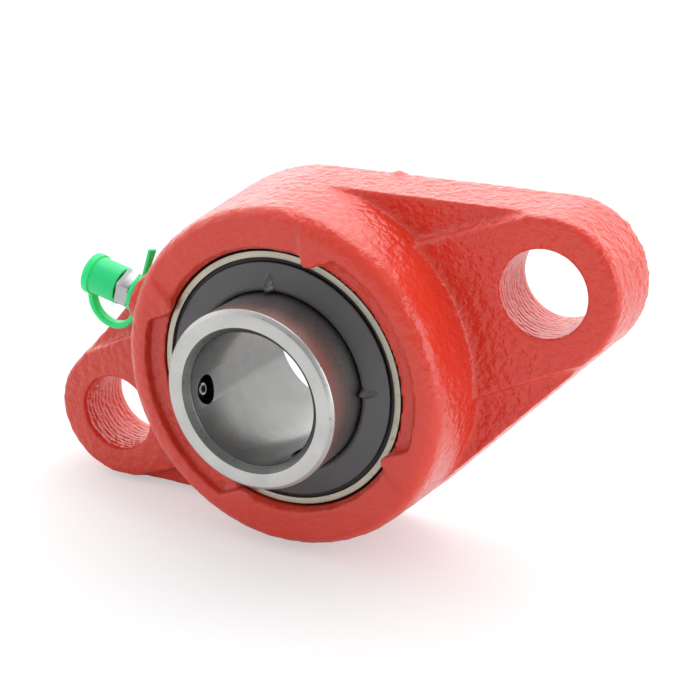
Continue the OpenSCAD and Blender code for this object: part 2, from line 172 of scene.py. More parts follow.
def gloss_enamel():
    """Sprayed gloss enamel on a sand casting: bright soft-edged highlights that break up over the sand's grain,
    orange peel between them, a few pinholes, and rings left by the drill under the paint in the bolt holes."""
    material, tree, output, place = start_material("gloss_enamel_on_sand_casting")
    drift = add(tree, "ShaderNodeTexNoise", {
        "Vector": place, "Scale": per_mm(DRIFT_SIZE), "Detail": 3.0,
    }).outputs["Fac"]
    mixed = add(tree, "ShaderNodeMix", {0: drift, 6: linear("#da2f1c"), 7: linear("#e43d26")}, data_type="RGBA")

    # Pinholes: a dot in the middle of a few cells
    cells = add(tree, "ShaderNodeTexVoronoi", {"Vector": place, "Scale": per_mm(PINHOLE_SPACING), "Randomness": 1.0})
    chosen = add(tree, "ShaderNodeSeparateColor", {0: cells.outputs["Color"]}).outputs[0]
    dot_size = add(tree, "ShaderNodeMapRange", {
        0: chosen, 1: 1 - PINHOLE_SHARE, 2: 1.0, 3: 0.0, 4: PINHOLE_R,
    }).outputs[0]
    dot = add(tree, "ShaderNodeMath", {0: cells.outputs["Distance"], 1: dot_size}, operation="LESS_THAN").outputs[0]
    mixed = add(tree, "ShaderNodeMix", {0: dot, 6: mixed.outputs[2], 7: linear("#5c1512")}, data_type="RGBA")

    # Orange peel over coarser sand grain, which is dressed flatter on the front ring and the milled mounting face
    peel = add(tree, "ShaderNodeTexNoise", {
        "Vector": place, "Scale": per_mm(PEEL_SIZE), "Detail": 2.0,
    }).outputs["Fac"]
    grain = add(tree, "ShaderNodeTexNoise", {
        "Vector": place, "Scale": per_mm(PAINTED_GRAIN_SIZE), "Detail": 2.0,
    }).outputs["Fac"]
    relief = add(tree, "ShaderNodeMath", {0: grain, 1: 0.6, 2: peel}, operation="MULTIPLY_ADD").outputs[0]
    parts = add(tree, "ShaderNodeSeparateXYZ", {0: place})
    dressed = add(tree, "ShaderNodeMapRange", {
        0: parts.outputs[1], 1: -FRONT_RING_HEIGHT * MM, 2: -HUB_SHOULDER_HEIGHT * MM, 3: 0.55, 4: 1.0,
    })
    milled = add(tree, "ShaderNodeMapRange", {
        0: parts.outputs[1], 1: -FACED_HEIGHT * MM, 2: -0.3 * FACED_HEIGHT * MM, 3: 1.0, 4: 0.35,
    })
    relief = add(tree, "ShaderNodeMath", {0: relief, 1: dressed.outputs[0]}, operation="MULTIPLY").outputs[0]
    relief = add(tree, "ShaderNodeMath", {0: relief, 1: milled.outputs[0]}, operation="MULTIPLY").outputs[0]
    relief = add(tree, "ShaderNodeMath", {0: dot, 1: -0.8, 2: relief}, operation="MULTIPLY_ADD").outputs[0]

    # Drill rings: an uneven wave along the shaft axis, only on the walls of the two bolt holes
    flat = add(tree, "ShaderNodeCombineXYZ", {0: parts.outputs[0], 2: parts.outputs[2]}).outputs[0]
    half = BOLT_PITCH / 2 * MM
    centres = [(side * half * math.cos(lean), 0, side * half * math.sin(lean)) for side in (-1, 1)]
    distances = [
        add(tree, "ShaderNodeVectorMath", {0: flat, 1: centre}, operation="DISTANCE").outputs["Value"]
        for centre in centres
    ]
    nearest = add(tree, "ShaderNodeMath", {0: distances[0], 1: distances[1]}, operation="MINIMUM").outputs[0]
    wall = add(tree, "ShaderNodeMapRange", {0: nearest, 1: (BOLT_HOLE_R + 0.7) * MM, 2: (BOLT_HOLE_R + 0.2) * MM})
    wobble = add(tree, "ShaderNodeTexNoise", {
        "Vector": place, "Scale": per_mm(DRILL_WOBBLE_SIZE), "Detail": 1.0,
    }).outputs["Fac"]
    depth = add(tree, "ShaderNodeMath", {
        0: wobble, 1: DRILL_WOBBLE * MM, 2: parts.outputs[1],
    }, operation="MULTIPLY_ADD").outputs[0]
    turns = add(tree, "ShaderNodeMath", {0: depth, 1: math.tau * per_mm(DRILL_PITCH)}, operation="MULTIPLY").outputs[0]
    ring = add(tree, "ShaderNodeMath", {0: turns}, operation="SINE").outputs[0]
    uneven = add(tree, "ShaderNodeMath", {0: ring, 1: peel}, operation="MULTIPLY").outputs[0]
    rings = add(tree, "ShaderNodeMath", {0: uneven, 1: wall.outputs[0]}, operation="MULTIPLY").outputs[0]
    relief = add(tree, "ShaderNodeMath", {0: rings, 1: DRILL_RELIEF, 2: relief}, operation="MULTIPLY_ADD").outputs[0]

    bump = add(tree, "ShaderNodeBump", {"Strength": 1.0, "Distance": PAINT_RELIEF * MM, "Height": relief}).outputs[0]
    shader = add(tree, "ShaderNodeBsdfPrincipled", {
        "Base Color": mixed.outputs[2], "Roughness": 0.4, "IOR": 1.45, "Normal": bump,
        "Coat Weight": 0.7, "Coat Roughness": 0.1, "Coat IOR": 1.5, "Coat Normal": bump,
    })
    tree.links.new(shader.outputs[0], output.inputs[0])
    return material


def welded_copy(node, name, apart):
    """A copy of a CAD node's mesh in which points less than `apart` metres apart are one."""
    bm = bmesh.new()
    bm.from_mesh(frame["nodes"][node].data)
    bmesh.ops.remove_doubles(bm, verts=bm.verts, dist=apart)
    mesh = bpy.data.meshes.new(name)
    bm.to_mesh(mesh)
    bm.free()
    return mesh


def evaluated_mesh(blank, *tools):
    """The mesh that an object's modifiers make. The object and the tools that they use are taken away again."""
    bpy.context.view_layer.update()
    mesh = bpy.data.meshes.new_from_object(blank.evaluated_get(bpy.context.evaluated_depsgraph_get()))
    for spare in (blank, *tools):
        bpy.data.objects.remove(spare)
    return mesh


blank = put_in_scene("blank", welded_copy("housing", "cast_housing", 0.001 * MM))
remesh = blank.modifiers.new("paint_film", "REMESH")
remesh.mode, remesh.voxel_size = "VOXEL", VOXEL * MM
rounding = blank.modifiers.new("paint_rounding", "SMOOTH")
rounding.factor, rounding.iterations = 0.5, 3
cast_mesh = evaluated_mesh(blank)


def bored(point):
    """Puts a point of a cut wall or rim, in mm, on a true cylinder with rounded rims: the two bolt holes,
    the bore behind the seat and its two loading slots. Gives nothing for any other point."""
    if math.hypot(point.x, point.y) > BOLT_PITCH / 3:
        middle, radius, top, ceiling = math.copysign(BOLT_PITCH / 2, point.x), BOLT_HOLE_R, PAD_HEIGHT, PAD_HEIGHT + 1
    elif abs(point.y) > SLOT_HALF:
        middle, radius, top, ceiling = 0, REAR_BORE_R, math.inf, REAR_BORE_TOP
    else:
        middle, radius, top, ceiling = 0, SLOT_R, math.inf, SLOT_TOP
    across = math.hypot(point.x - middle, point.y)
    by_corner = middle == 0 and abs(abs(point.y) - SLOT_HALF) < VOXEL
    if not radius - 1 < across < radius + RIM_ROUND or point.z > ceiling or by_corner:
        return None
    level = min(max(point.z, RIM_ROUND), top - RIM_ROUND)
    turn = math.atan2(point.z - level, across - radius - RIM_ROUND)
    grown = (radius + RIM_ROUND + RIM_ROUND * math.cos(turn)) / across
    return Vector((middle + (point.x - middle) * grown, point.y * grown, level + RIM_ROUND * math.sin(turn)))


def sand_grain(point, normal):
    """How far the cast surface stands out at a point in mm: none on the seat and in the holes, little on the base.
    A torn bit of flash stands on the parting edge."""
    across = math.hypot(abs(point.x) - BOLT_PITCH / 2, point.y)
    from_seat = (point - Vector((0, 0, SEAT_HEIGHT))).length - SEAT_R
    if across < BOLT_HOLE_R + RIM_ROUND or from_seat < VOXEL:
        return 0.0
    rough = 1.0 if abs(normal.z) < 0.7 or point.z > FACED_HEIGHT else 0.15
    rough *= min(1.0, across - BOLT_HOLE_R - RIM_ROUND)
    flash = max(0.0, 1 - (point - Vector(FLASH_AT)).length / FLASH_R) * FLASH_HEIGHT * (1.3 + noise.noise(point))
    grain = GRAIN_DEPTH * noise.noise(point / GRAIN_SIZE) + WAVE_DEPTH * noise.noise(point / WAVE_SIZE)
    return rough * grain + flash


turn_to_unit = unit_to_mm.to_3x3().normalized()
moved = []
for vertex in cast_mesh.vertices:
    point, normal = unit_to_mm @ vertex.co, turn_to_unit @ vertex.normal
    moved.append(unit_axes @ (bored(point) or point + normal * sand_grain(point, normal)))
for vertex, co in zip(cast_mesh.vertices, moved):
    vertex.co = co
place_piece("cast_housing", cast_mesh, [gloss_enamel()], "housing", ["housing"], sharp=180)

# Outer ring
# Hardened bearing steel: a sphere outside, so that it can tilt in its seat. Its faces are ground, and a thin film
# of preserving oil gives the visible front face a warm ivory tone. The corners are coloured dark as painted shade.
RING_R = 26.0
RING_HALF = 8.5
RING_CHAMFER = 0.3
RING_EDGE = 0.08
SEAL_SEAT_R = 23.15
SEAL_SEAT_DEPTH = 2.6
LAND_R = 21.7
RACE_MIDDLE_R = 19.12
RACE_R = 4.129
STAIN_SIZE = 5
GRIT_SIZE = 0.7
GROUND, SHADE_PAINTED_CORNER = range(2)


def spun(profile, steps=256):
    """A ring or turned body: a closed outline of (radius, height) in mm, spun round the Z axis."""
    bm = bmesh.new()
    outline = [bm.verts.new((radius, 0, height)) for radius, height in profile]
    edges = [bm.edges.new((a, b)) for a, b in zip(outline, outline[1:] + outline[:1])]
    bmesh.ops.spin(
        bm, geom=outline + edges, axis=(0, 0, 1), cent=(0, 0, 0), angle=math.tau, steps=steps, use_merge=True
    )
    bmesh.ops.remove_doubles(bm, verts=bm.verts, dist=0.0005)
    bmesh.ops.delete(bm, geom=[edge for edge in bm.edges if not edge.link_faces], context="EDGES")
    bmesh.ops.recalc_face_normals(bm, faces=bm.faces)
    return bm


def round_edges(bm, size, segments=3, above=25):
    """Rounds every edge that bends by more than `above` degrees."""
    edges = [e for e in bm.edges if e.is_manifold and e.calc_face_angle() > math.radians(above)]
    bmesh.ops.bevel(
        bm, geom=edges, offset=size, offset_type="OFFSET", affect="EDGES", segments=segments, profile=0.5,
        material=-1, clamp_overlap=True,
    )


def arc(centre, radius, start, end, count):
    """Points of a circle's arc in the outline's plane, from one angle to another in degrees."""
    angles = [math.radians(start + (end - start) * i / count) for i in range(count + 1)]
    return [(centre[0] + radius * math.cos(a), centre[1] + radius * math.sin(a)) for a in angles]


def to_mesh(bm, name, axes):
    """Moves a body drawn in mm to its place in the unit and makes it a mesh whose faces look outwards."""
    bmesh.ops.recalc_face_normals(bm, faces=bm.faces)
    bm.transform(axes)
    if axes.determinant() < 0:
        bmesh.ops.reverse_faces(bm, faces=bm.faces)
    mesh = bpy.data.meshes.new(name)
    bm.to_mesh(mesh)
    bm.free()
    return mesh


def ground_steel(name, tone, roughness, lay, lay_mm, depth=0.004, blotch=0.0, specks=0.0):
    """Ground or turned bearing steel: grey metal with a fine lay of parallel lines, faint oil stains and specks.
    lay is "rings" for lines round the shaft on a face, or "hoops" for lines round a cylinder. lay_mm is how far
    apart they are, and depth how far they stand out, both in mm."""
    material, tree, output, place = start_material(name)
    parts = add(tree, "ShaderNodeSeparateXYZ", {0: place})
    flat = add(tree, "ShaderNodeCombineXYZ", {0: parts.outputs[0], 2: parts.outputs[2]}).outputs[0]
    radius = add(tree, "ShaderNodeVectorMath", {0: flat}, operation="LENGTH").outputs["Value"]
    along = radius if lay == "rings" else parts.outputs[1]
    line_place = add(tree, "ShaderNodeCombineXYZ", {0: along}).outputs[0]
    lines = add(tree, "ShaderNodeTexNoise", {
        "Vector": line_place, "Scale": per_mm(lay_mm), "Detail": 4.0, "Roughness": 0.7,
    }).outputs["Fac"]
    stain = add(tree, "ShaderNodeTexNoise", {
        "Vector": place, "Scale": per_mm(STAIN_SIZE), "Detail": 5.0,
    }).outputs["Fac"]
    dulled = add(tree, "ShaderNodeMapRange", {
        0: stain, 1: 0.3, 2: 0.75, 3: roughness - 0.03, 4: roughness + 0.06,
    }).outputs[0]
    spread = add(tree, "ShaderNodeMath", {0: lines, 1: 0.08, 2: dulled}, operation="MULTIPLY_ADD").outputs[0]
    darker = [c * (0.78 - blotch) for c in linear(tone)[:3]] + [1.0]
    shade = add(tree, "ShaderNodeMapRange", {0: stain, 1: 0.35, 2: 0.8, 3: 0.0, 4: 0.5}).outputs[0]
    colour = add(tree, "ShaderNodeMix", {0: shade, 6: linear(tone), 7: darker}, data_type="RGBA").outputs[2]
    grit = add(tree, "ShaderNodeTexNoise", {
        "Vector": place, "Scale": per_mm(GRIT_SIZE), "Detail": 1.0,
    }).outputs["Fac"]
    speck = add(tree, "ShaderNodeMapRange", {0: grit, 1: 0.66, 2: 0.72, 3: 0.0, 4: specks}).outputs[0]
    streak = add(tree, "ShaderNodeMapRange", {0: lines, 1: 0.4, 2: 0.75, 3: 0.0, 4: specks * 0.5}).outputs[0]
    marks = add(tree, "ShaderNodeMath", {0: speck, 1: streak}, operation="MAXIMUM").outputs[0]
    colour = add(tree, "ShaderNodeMix", {0: marks, 6: colour, 7: linear("#3c3a38")}, data_type="RGBA").outputs[2]
    bump = add(tree, "ShaderNodeBump", {"Strength": 0.35, "Distance": depth * MM, "Height": lines}).outputs[0]
    shader = add(tree, "ShaderNodeBsdfPrincipled", {
        "Base Color": colour, "Metallic": 1.0, "Roughness": spread, "Normal": bump,
    })
    tree.links.new(shader.outputs[0], output.inputs[0])
    return material


insert_centre = unit_axes @ Matrix.Translation((0, 0, SEAT_HEIGHT))
outer_race_turn = math.degrees(math.acos((LAND_R - RACE_MIDDLE_R) / RACE_R))
face_r = math.sqrt(RING_R ** 2 - RING_HALF ** 2) - RING_CHAMFER

# The sphere ends where the corner's slope of 45 degrees, drawn back from the face, meets it
corner = 45 - math.degrees(math.acos((face_r + RING_HALF) / math.sqrt(2) / RING_R))
ring_outline = (
    arc((0, 0), RING_R, -corner, corner, 24)
    + [(face_r, RING_HALF), (SEAL_SEAT_R, RING_HALF), (SEAL_SEAT_R, RING_HALF - SEAL_SEAT_DEPTH),
       (LAND_R, RING_HALF - SEAL_SEAT_DEPTH)]
    + arc((RACE_MIDDLE_R, 0), RACE_R, outer_race_turn, -outer_race_turn, 16)
    + [(LAND_R, SEAL_SEAT_DEPTH - RING_HALF), (SEAL_SEAT_R, SEAL_SEAT_DEPTH - RING_HALF),
       (SEAL_SEAT_R, -RING_HALF), (face_r, -RING_HALF)]
)
ring = spun(ring_outline)
round_edges(ring, RING_EDGE)
# The faces of the chamfered corners take a dark grey, which is painted shade at the ring's edge
for face in ring.faces:
    middle = face.calc_center_median()
    in_corner = math.hypot(middle.x, middle.y) > face_r and abs(face.normal.z) > 0.4
    face.material_index = SHADE_PAINTED_CORNER if in_corner else GROUND
ivory_steel = ground_steel("ground_ring_steel", "#cfc8b8", 0.42, "rings", 0.25, specks=0.35)
# Dark grey for the corner faces: painted shade
corner_shade_paint = ground_steel("painted_shade_corner", "#3a3836", 0.6, "hoops", 0.6)
place_piece("ground_outer_ring", to_mesh(ring, "ground_outer_ring", insert_centre), [ivory_steel, corner_shade_paint], "insert",
            ["outer_ring"])

# Balls and cage
# Nine polished balls of through-hardened steel, kept apart by a cage pressed from two strips of steel
# that are riveted together between the balls. They are inside, behind the seals, whose cores are pressed too.
polished = ground_steel("polished_ball_steel", "#d8d8da", 0.12, "hoops", 2.0, depth=0.001)
pressed = ground_steel("pressed_cage_strip", "#b9b8b2", 0.38, "hoops", 0.8, depth=0.006)
for name, node in frame["nodes"].items():
    if name.startswith("ball_") or name == "nipple_ball":
        node.data.materials.clear()
        node.data.materials.append(polished)
    elif name.startswith("cage_") or name.startswith("seal_core"):
        node.data.materials.clear()
        node.data.materials.append(pressed)

# Seals
# Black nitrile rubber moulded on a pressed steel core. Its rim fills the groove in the outer ring,
# and its lip rubs on the inner ring. Only the rim shows, as a black line round the flinger.
INNER_R = 16.9
LIP_GAP = 0.05
CORE_T = 0.6
RUBBER_T = 0.8
RIM_DROP = 0.5
RUBBER_EDGE = 0.12


def nitrile_rubber():
    """Moulded nitrile rubber: nearly black, a soft dull sheen and the faint grain of its mould."""
    material, tree, output, place = start_material("nitrile_rubber")
    grain = add(tree, "ShaderNodeTexNoise", {"Vector": place, "Scale": per_mm(0.5), "Detail": 3.0}).outputs["Fac"]
    worn = add(tree, "ShaderNodeMapRange", {0: grain, 3: 0.42, 4: 0.6}).outputs[0]
    bump = add(tree, "ShaderNodeBump", {"Strength": 0.3, "Distance": 0.02 * MM, "Height": grain}).outputs[0]
    shader = add(tree, "ShaderNodeBsdfPrincipled", {
        "Base Color": linear("#161617"), "Roughness": worn, "IOR": 1.52, "Normal": bump,
    })
    tree.links.new(shader.outputs[0], output.inputs[0])
    return material


core_low = RING_HALF - SEAL_SEAT_DEPTH + LIP_GAP
core_high = core_low + CORE_T
rubber_high = core_high + RUBBER_T
rim_high = RING_HALF - RIM_DROP
seal_r = SEAL_SEAT_R - LIP_GAP
lip_r = INNER_R + LIP_GAP
seal_outline = [
    (lip_r, core_low), (lip_r + CORE_T / 2, core_low), (lip_r + CORE_T, core_high), (seal_r, core_high),
    (seal_r, rim_high), (seal_r - RUBBER_T, rim_high), (seal_r - 2 * RUBBER_T, rubber_high),
    (lip_r + CORE_T, rubber_high), (lip_r, core_high),
]
both_sides = {"front": insert_centre, "back": insert_centre @ Matrix.Scale(-1, 4, (0, 0, 1))}
rubber = nitrile_rubber()
for side, axes in both_sides.items():
    seal = spun(seal_outline, steps=192)
    round_edges(seal, RUBBER_EDGE, above=40)
    name = f"rubber_seal_{side}"
    place_piece(name, to_mesh(seal, name, axes), [rubber], "insert", [f"seal_lip_{side}"])

# Inner ring
# Hardened bearing steel, wider than the outer ring so that it grips a long stretch of shaft. Its race and
# faces are ground, its bore is honed, its collar is turned, and two tapped holes take the set screws.
BORE_R = 12.5
INNER_BACK = -14.3
INNER_FRONT = 19.8
BORE_CHAMFER = 1.2
REAR_CHAMFER = 0.5
OUTER_CHAMFER = 0.7
INNER_RACE_R = 19.38
INNER_EDGE = 0.12
SCREW_HOLE_R = 2.5
COUNTERSINK = 0.3
MOUTH_SAG = 0.35
DRILL_PAST = 2
FACE, BORE, COLLAR, CHAMFER, THREAD = range(5)
screw_axes = {}
for number in (1, 2):
    inward = Vector(joints[f"set_screw_{number}_travel"]["axis"]).normalized()
    screw_low, screw_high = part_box(f"set_screw_{number}")
    height = -(screw_low.y + screw_high.y) / 2 / MM
    angle = math.atan2(-inward.z, -inward.x) - lean
    screw_axes[number] = (
        unit_axes @ Matrix.Translation((0, 0, height)) @ Matrix.Rotation(angle, 4, "Z")
        @ Matrix.Rotation(math.radians(90), 4, "Y")
    )

inner_race_turn = math.degrees(math.acos((INNER_RACE_R - INNER_R) / RACE_R))
inner_outline = (
    [(BORE_R, INNER_BACK + REAR_CHAMFER), (BORE_R + REAR_CHAMFER, INNER_BACK),
     (INNER_R - OUTER_CHAMFER, INNER_BACK), (INNER_R, INNER_BACK + OUTER_CHAMFER)]
    + arc((INNER_RACE_R, 0), RACE_R, 180 + inner_race_turn, 180 - inner_race_turn, 20)
    + [(INNER_R, INNER_FRONT - OUTER_CHAMFER), (INNER_R - OUTER_CHAMFER, INNER_FRONT),
       (BORE_R + BORE_CHAMFER, INNER_FRONT), (BORE_R, INNER_FRONT - BORE_CHAMFER)]
)
inner = spun(inner_outline)
round_edges(inner, INNER_EDGE)
for face in inner.faces:
    middle = face.calc_center_median()
    radius = math.hypot(middle.x, middle.y)
    on_face = abs(face.normal.z) > 0.9
    on_bore = radius < BORE_R + 0.2
    on_chamfer = radius < BORE_R + BORE_CHAMFER and not on_face and not on_bore
    face.material_index = FACE if on_face else BORE if on_bore else CHAMFER if on_chamfer else COLLAR
inner_mesh = to_mesh(inner, "inner_ring_body", insert_centre)


def cut_with(mesh, cutters, finishes):
    """Gives a body its materials and cuts the shapes of other closed meshes out of it."""
    for finish in finishes:
        mesh.materials.append(finish)
    blank = put_in_scene("blank", mesh)
    tools = [put_in_scene("cutter", cutter) for cutter in cutters]
    for tool in tools:
        cut = blank.modifiers.new("cut", "BOOLEAN")
        cut.operation, cut.solver, cut.object = "DIFFERENCE", "EXACT", tool
    return evaluated_mesh(blank, *tools)


# The tapped holes are cut with a drill that has a countersink at both mouths
mouth_r = SCREW_HOLE_R + COUNTERSINK
drill_outline = [
    (0, BORE_R - DRILL_PAST), (mouth_r, BORE_R - DRILL_PAST), (mouth_r, BORE_R - MOUTH_SAG),
    (SCREW_HOLE_R, BORE_R + COUNTERSINK), (SCREW_HOLE_R, INNER_R - COUNTERSINK), (mouth_r, INNER_R),
    (mouth_r, INNER_R + DRILL_PAST), (0, INNER_R + DRILL_PAST),
]
drills = [to_mesh(spun(drill_outline, 48), "drill", axes) for axes in screw_axes.values()]
ring_finishes = [
    ground_steel("ground_end_face", "#d4d4d2", 0.40, "rings", 0.3, specks=0.1),
    ground_steel("honed_bore", "#888887", 0.2, "hoops", 0.4, depth=0.003, specks=0.12),
    ground_steel("turned_collar", "#cacac8", 0.28, "hoops", 0.5, depth=0.004, blotch=0.12, specks=0.4),
    ground_steel("turned_chamfer", "#7c7c7b", 0.42, "rings", 0.3, specks=0.5),
    # The thread's near-black is oily steel, darkened further as painted shade inside the tapped holes
    ground_steel("oiled_thread_painted_shade", "#1e1e1f", 0.5, "hoops", 0.5),
]
tapped_mesh = cut_with(inner_mesh, drills, ring_finishes)
# The walls of the tapped holes take the near-black thread material: oily steel with painted shade in the holes
for face in tapped_mesh.polygons:
    for axes in screw_axes.values():
        to_hole = axes.inverted()
        middle = to_hole @ face.center
        steep = abs((to_hole.to_3x3() @ face.normal).normalized().z) < 0.9
        if steep and middle.z > 0 and math.hypot(middle.x, middle.y) < mouth_r + 0.01:
            face.material_index = THREAD
place_piece("ground_inner_ring", tapped_mesh, [], "inner_ring", ["inner_ring"])

# Flingers
# Rings pressed from thin steel strip and blackened, pushed on the inner ring in front of each seal.
# Each dishes down from a tight bend to its rim, and four pressed ribs stiffen it.
FLINGER_T = 0.5
FLINGER_R = 22.35
FLINGER_RISE = 0.95
FLINGER_GAP = 0.25
RIB_ANGLE = 70
RIB_COUNT = 4
RIB_LENGTH = 2.8
RIB_HEIGHT = 1.3
RIB_HALF_WIDTH = 0.85
RIB_TAPER = 0.75
RIB_START = -0.2
BEND_POINTS = ((0.6, 0.1), (0.3, 0.4), (0, 1))
FLINGER_EDGE = 0.2
DISH_STEPS = 14


def blackened_strip():
    """Phosphated steel strip: dark grey with a silky, slightly cloudy sheen and fine drawing marks."""
    material, tree, output, place = start_material("blackened_steel_strip")
    cloud = add(tree, "ShaderNodeTexNoise", {"Vector": place, "Scale": per_mm(7), "Detail": 4.0}).outputs["Fac"]
    tooth = add(tree, "ShaderNodeTexNoise", {"Vector": place, "Scale": per_mm(0.4), "Detail": 2.0}).outputs["Fac"]
    colour = add(tree, "ShaderNodeMix", {0: cloud, 6: linear("#5a5a5c"), 7: linear("#6c6c6e")}, data_type="RGBA")
    silk = add(tree, "ShaderNodeMapRange", {0: cloud, 3: 0.36, 4: 0.5}).outputs[0]
    bump = add(tree, "ShaderNodeBump", {"Strength": 0.25, "Distance": 0.01 * MM, "Height": tooth}).outputs[0]
    shader = add(tree, "ShaderNodeBsdfPrincipled", {
        "Base Color": colour.outputs[2], "Metallic": 0.75, "Roughness": silk, "Normal": bump,
    })
    tree.links.new(shader.outputs[0], output.inputs[0])
    return material


def press_ribs(bm, bend_r):
    """Lifts the tapering ribs out of the dish, each highest at the bend and gone near the rim."""
    for vertex in bm.verts:
        radius = math.hypot(vertex.co.x, vertex.co.y)
        reach = (radius - bend_r) / RIB_LENGTH
        if not RIB_START < reach < 1:
            continue
        from_bend = max(reach, 0)
        around = math.degrees(math.atan2(vertex.co.y, vertex.co.x)) - RIB_ANGLE
        off = (around + 180 / RIB_COUNT) % (360 / RIB_COUNT) - 180 / RIB_COUNT
        across = abs(math.radians(off) * radius) / (RIB_HALF_WIDTH * (1 - RIB_TAPER * from_bend))
        if across < 1:
            vertex.co.z += RIB_HEIGHT * (1 - from_bend) * (1 - across ** 2)


def dish(low, high, start, end):
    """Points from one height and radius to another, close enough together to carry the ribs."""
    return [
        (start + (end - start) * i / DISH_STEPS, low + (high - low) * i / DISH_STEPS) for i in range(DISH_STEPS + 1)
    ]


collar_r = INNER_R + LIP_GAP / 2
rim_low = rim_high + FLINGER_GAP
bend_high = rim_low + FLINGER_RISE + FLINGER_T
bend_r = INNER_R + 2 * FLINGER_T
flinger_outline = (
    [(collar_r, rim_low), (collar_r + FLINGER_T, rim_low)]
    + dish(bend_high - FLINGER_T, rim_low, bend_r + FLINGER_T / 2, FLINGER_R)
    + dish(rim_low + FLINGER_T, bend_high, FLINGER_R, bend_r)
    + [(collar_r + out, bend_high - down) for out, down in BEND_POINTS]
)
strip = blackened_strip()
for side, axes in both_sides.items():
    flinger = spun(flinger_outline, steps=360)
    round_edges(flinger, FLINGER_EDGE, above=30)
    press_ribs(flinger, bend_r)
    name = f"pressed_flinger_{side}"
    place_piece(name, to_mesh(flinger, name, axes), [strip], "inner_ring", [f"flinger_{side}"])

# Set screws
# Short cup-point socket screws in alloy steel, rolled, hardened and dipped in black oxide.
# The rim of the cup is left bright, where it bites the shaft.
THREAD_GAP = 0.05
THREAD_PITCH = 0.8
THREAD_DEPTH = 0.4
THREAD_START = 0.7
SCREW_LENGTH = 3.8
SCREW_START = 13.0
SCREW_BEVEL = 0.2
CUP_DEPTH = 0.6
CUP_RIM = ((0.7, 0.05), (0.9, 0), (1.15, 0.1))
BARE_FROM, BARE_TO = 0.6, 1.1
SOCKET_ACROSS = 2.5
OXIDE, BARE = range(2)


def black_oxide():
    """Black oxide on alloy steel: a thin dark conversion layer, oily and a little glossy on the thread crests."""
    material, tree, output, place = start_material("black_oxide_steel")
    patch = add(tree, "ShaderNodeTexNoise", {"Vector": place, "Scale": per_mm(1.5), "Detail": 3.0}).outputs["Fac"]
    gloss = add(tree, "ShaderNodeMapRange", {0: patch, 3: 0.28, 4: 0.48}).outputs[0]
    shader = add(tree, "ShaderNodeBsdfPrincipled", {
        "Base Color": linear("#2a2a2c"), "Metallic": 0.8, "Roughness": gloss,
    })
    tree.links.new(shader.outputs[0], output.inputs[0])
    return material


def hexagon(across, length, middle):
    """A hexagonal bar along Z, in mm: its width across flats, its length and the height of its middle."""
    bar = bmesh.new()
    corner_r = across / 2 / math.cos(math.radians(30))
    bmesh.ops.create_cone(
        bar, cap_ends=True, segments=6, radius1=corner_r, radius2=corner_r, depth=length,
        matrix=Matrix.Translation((0, 0, middle)),
    )
    return bar


screw_r = SCREW_HOLE_R - THREAD_GAP
root_r = screw_r - THREAD_DEPTH
thread_count = int((SCREW_LENGTH - THREAD_PITCH) / THREAD_PITCH)
thread_outline = []
for turn in range(thread_count):
    root = SCREW_START + THREAD_START + turn * THREAD_PITCH
    thread_outline += [(root_r, root), (screw_r, root + THREAD_PITCH / 2)]
screw_end = SCREW_START + SCREW_LENGTH
screw_outline = (
    [(0, SCREW_START + CUP_DEPTH)]
    + [(radius, SCREW_START + up) for radius, up in CUP_RIM]
    + thread_outline
    + [(root_r, screw_end - SCREW_BEVEL), (root_r - SCREW_BEVEL, screw_end), (0, screw_end)]
)
screw_finishes = [black_oxide(), ground_steel("bare_cup_edge", "#dededc", 0.45, "hoops", 0.5)]
for number, axes in screw_axes.items():
    screw = spun(screw_outline, steps=48)
    for face in screw.faces:
        middle = face.calc_center_median()
        on_rim = BARE_FROM < math.hypot(middle.x, middle.y) < BARE_TO and middle.z < SCREW_START + 0.2
        face.material_index = BARE if on_rim else OXIDE
    name = f"cup_point_screw_{number}"
    key = to_mesh(hexagon(SOCKET_ACROSS, SCREW_LENGTH, screw_end), "hex_key", Matrix.Identity(4))
    screw_mesh = cut_with(to_mesh(screw, name, Matrix.Identity(4)), [key], screw_finishes)
    screw_mesh.transform(axes)
    place_piece(name, screw_mesh, [], f"set_screw_{number}", [f"set_screw_{number}"])

# Grease nipple
# Turned from free-cutting steel bar on a hexagon, and zinc plated. A ball and spring inside keep the grease in.
# It screws into a spot-faced boss on the hub, and the cap's neck ring is trapped under its hexagon.
BOSS_REACH = 35.596
NECK_R = 3.0
HEX_LOW = 36.996
HEX_TOP = 39.796
HEX_ACROSS = 7.0
HEAD_TOP = 45.896
HEAD_R = 3.25
HEAD_BASE_SHARE, HEAD_WAIST_SHARE, HEAD_TIP_SHARE = 0.75, 0.6, 0.55
WAIST_UP = 1.83
CROWN_UP = 3.05
CROWN_END_UP = 4.27
FILL_R = 0.8
STEM_DEPTH = 5
STEM_BEVEL = 0.4
STEM_BEVEL_TOP = 4.6
NECK_SLACK = 0.05
HEX_OVERLAP = 0.05
HEX_EDGE = 0.22
NIPPLE_EDGE = 0.1
cap_out = Vector(joints["cap_pull"]["axis"]).normalized()
nipple_angle = math.atan2(cap_out.z, cap_out.x) - lean
nipple_low, nipple_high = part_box("grease_nipple")
nipple_height = -(nipple_low.y + nipple_high.y) / 2 / MM
nipple_axes = (
    unit_axes @ Matrix.Translation((0, 0, nipple_height)) @ Matrix.Rotation(nipple_angle, 4, "Z")
    @ Matrix.Rotation(math.radians(90), 4, "Y")
)


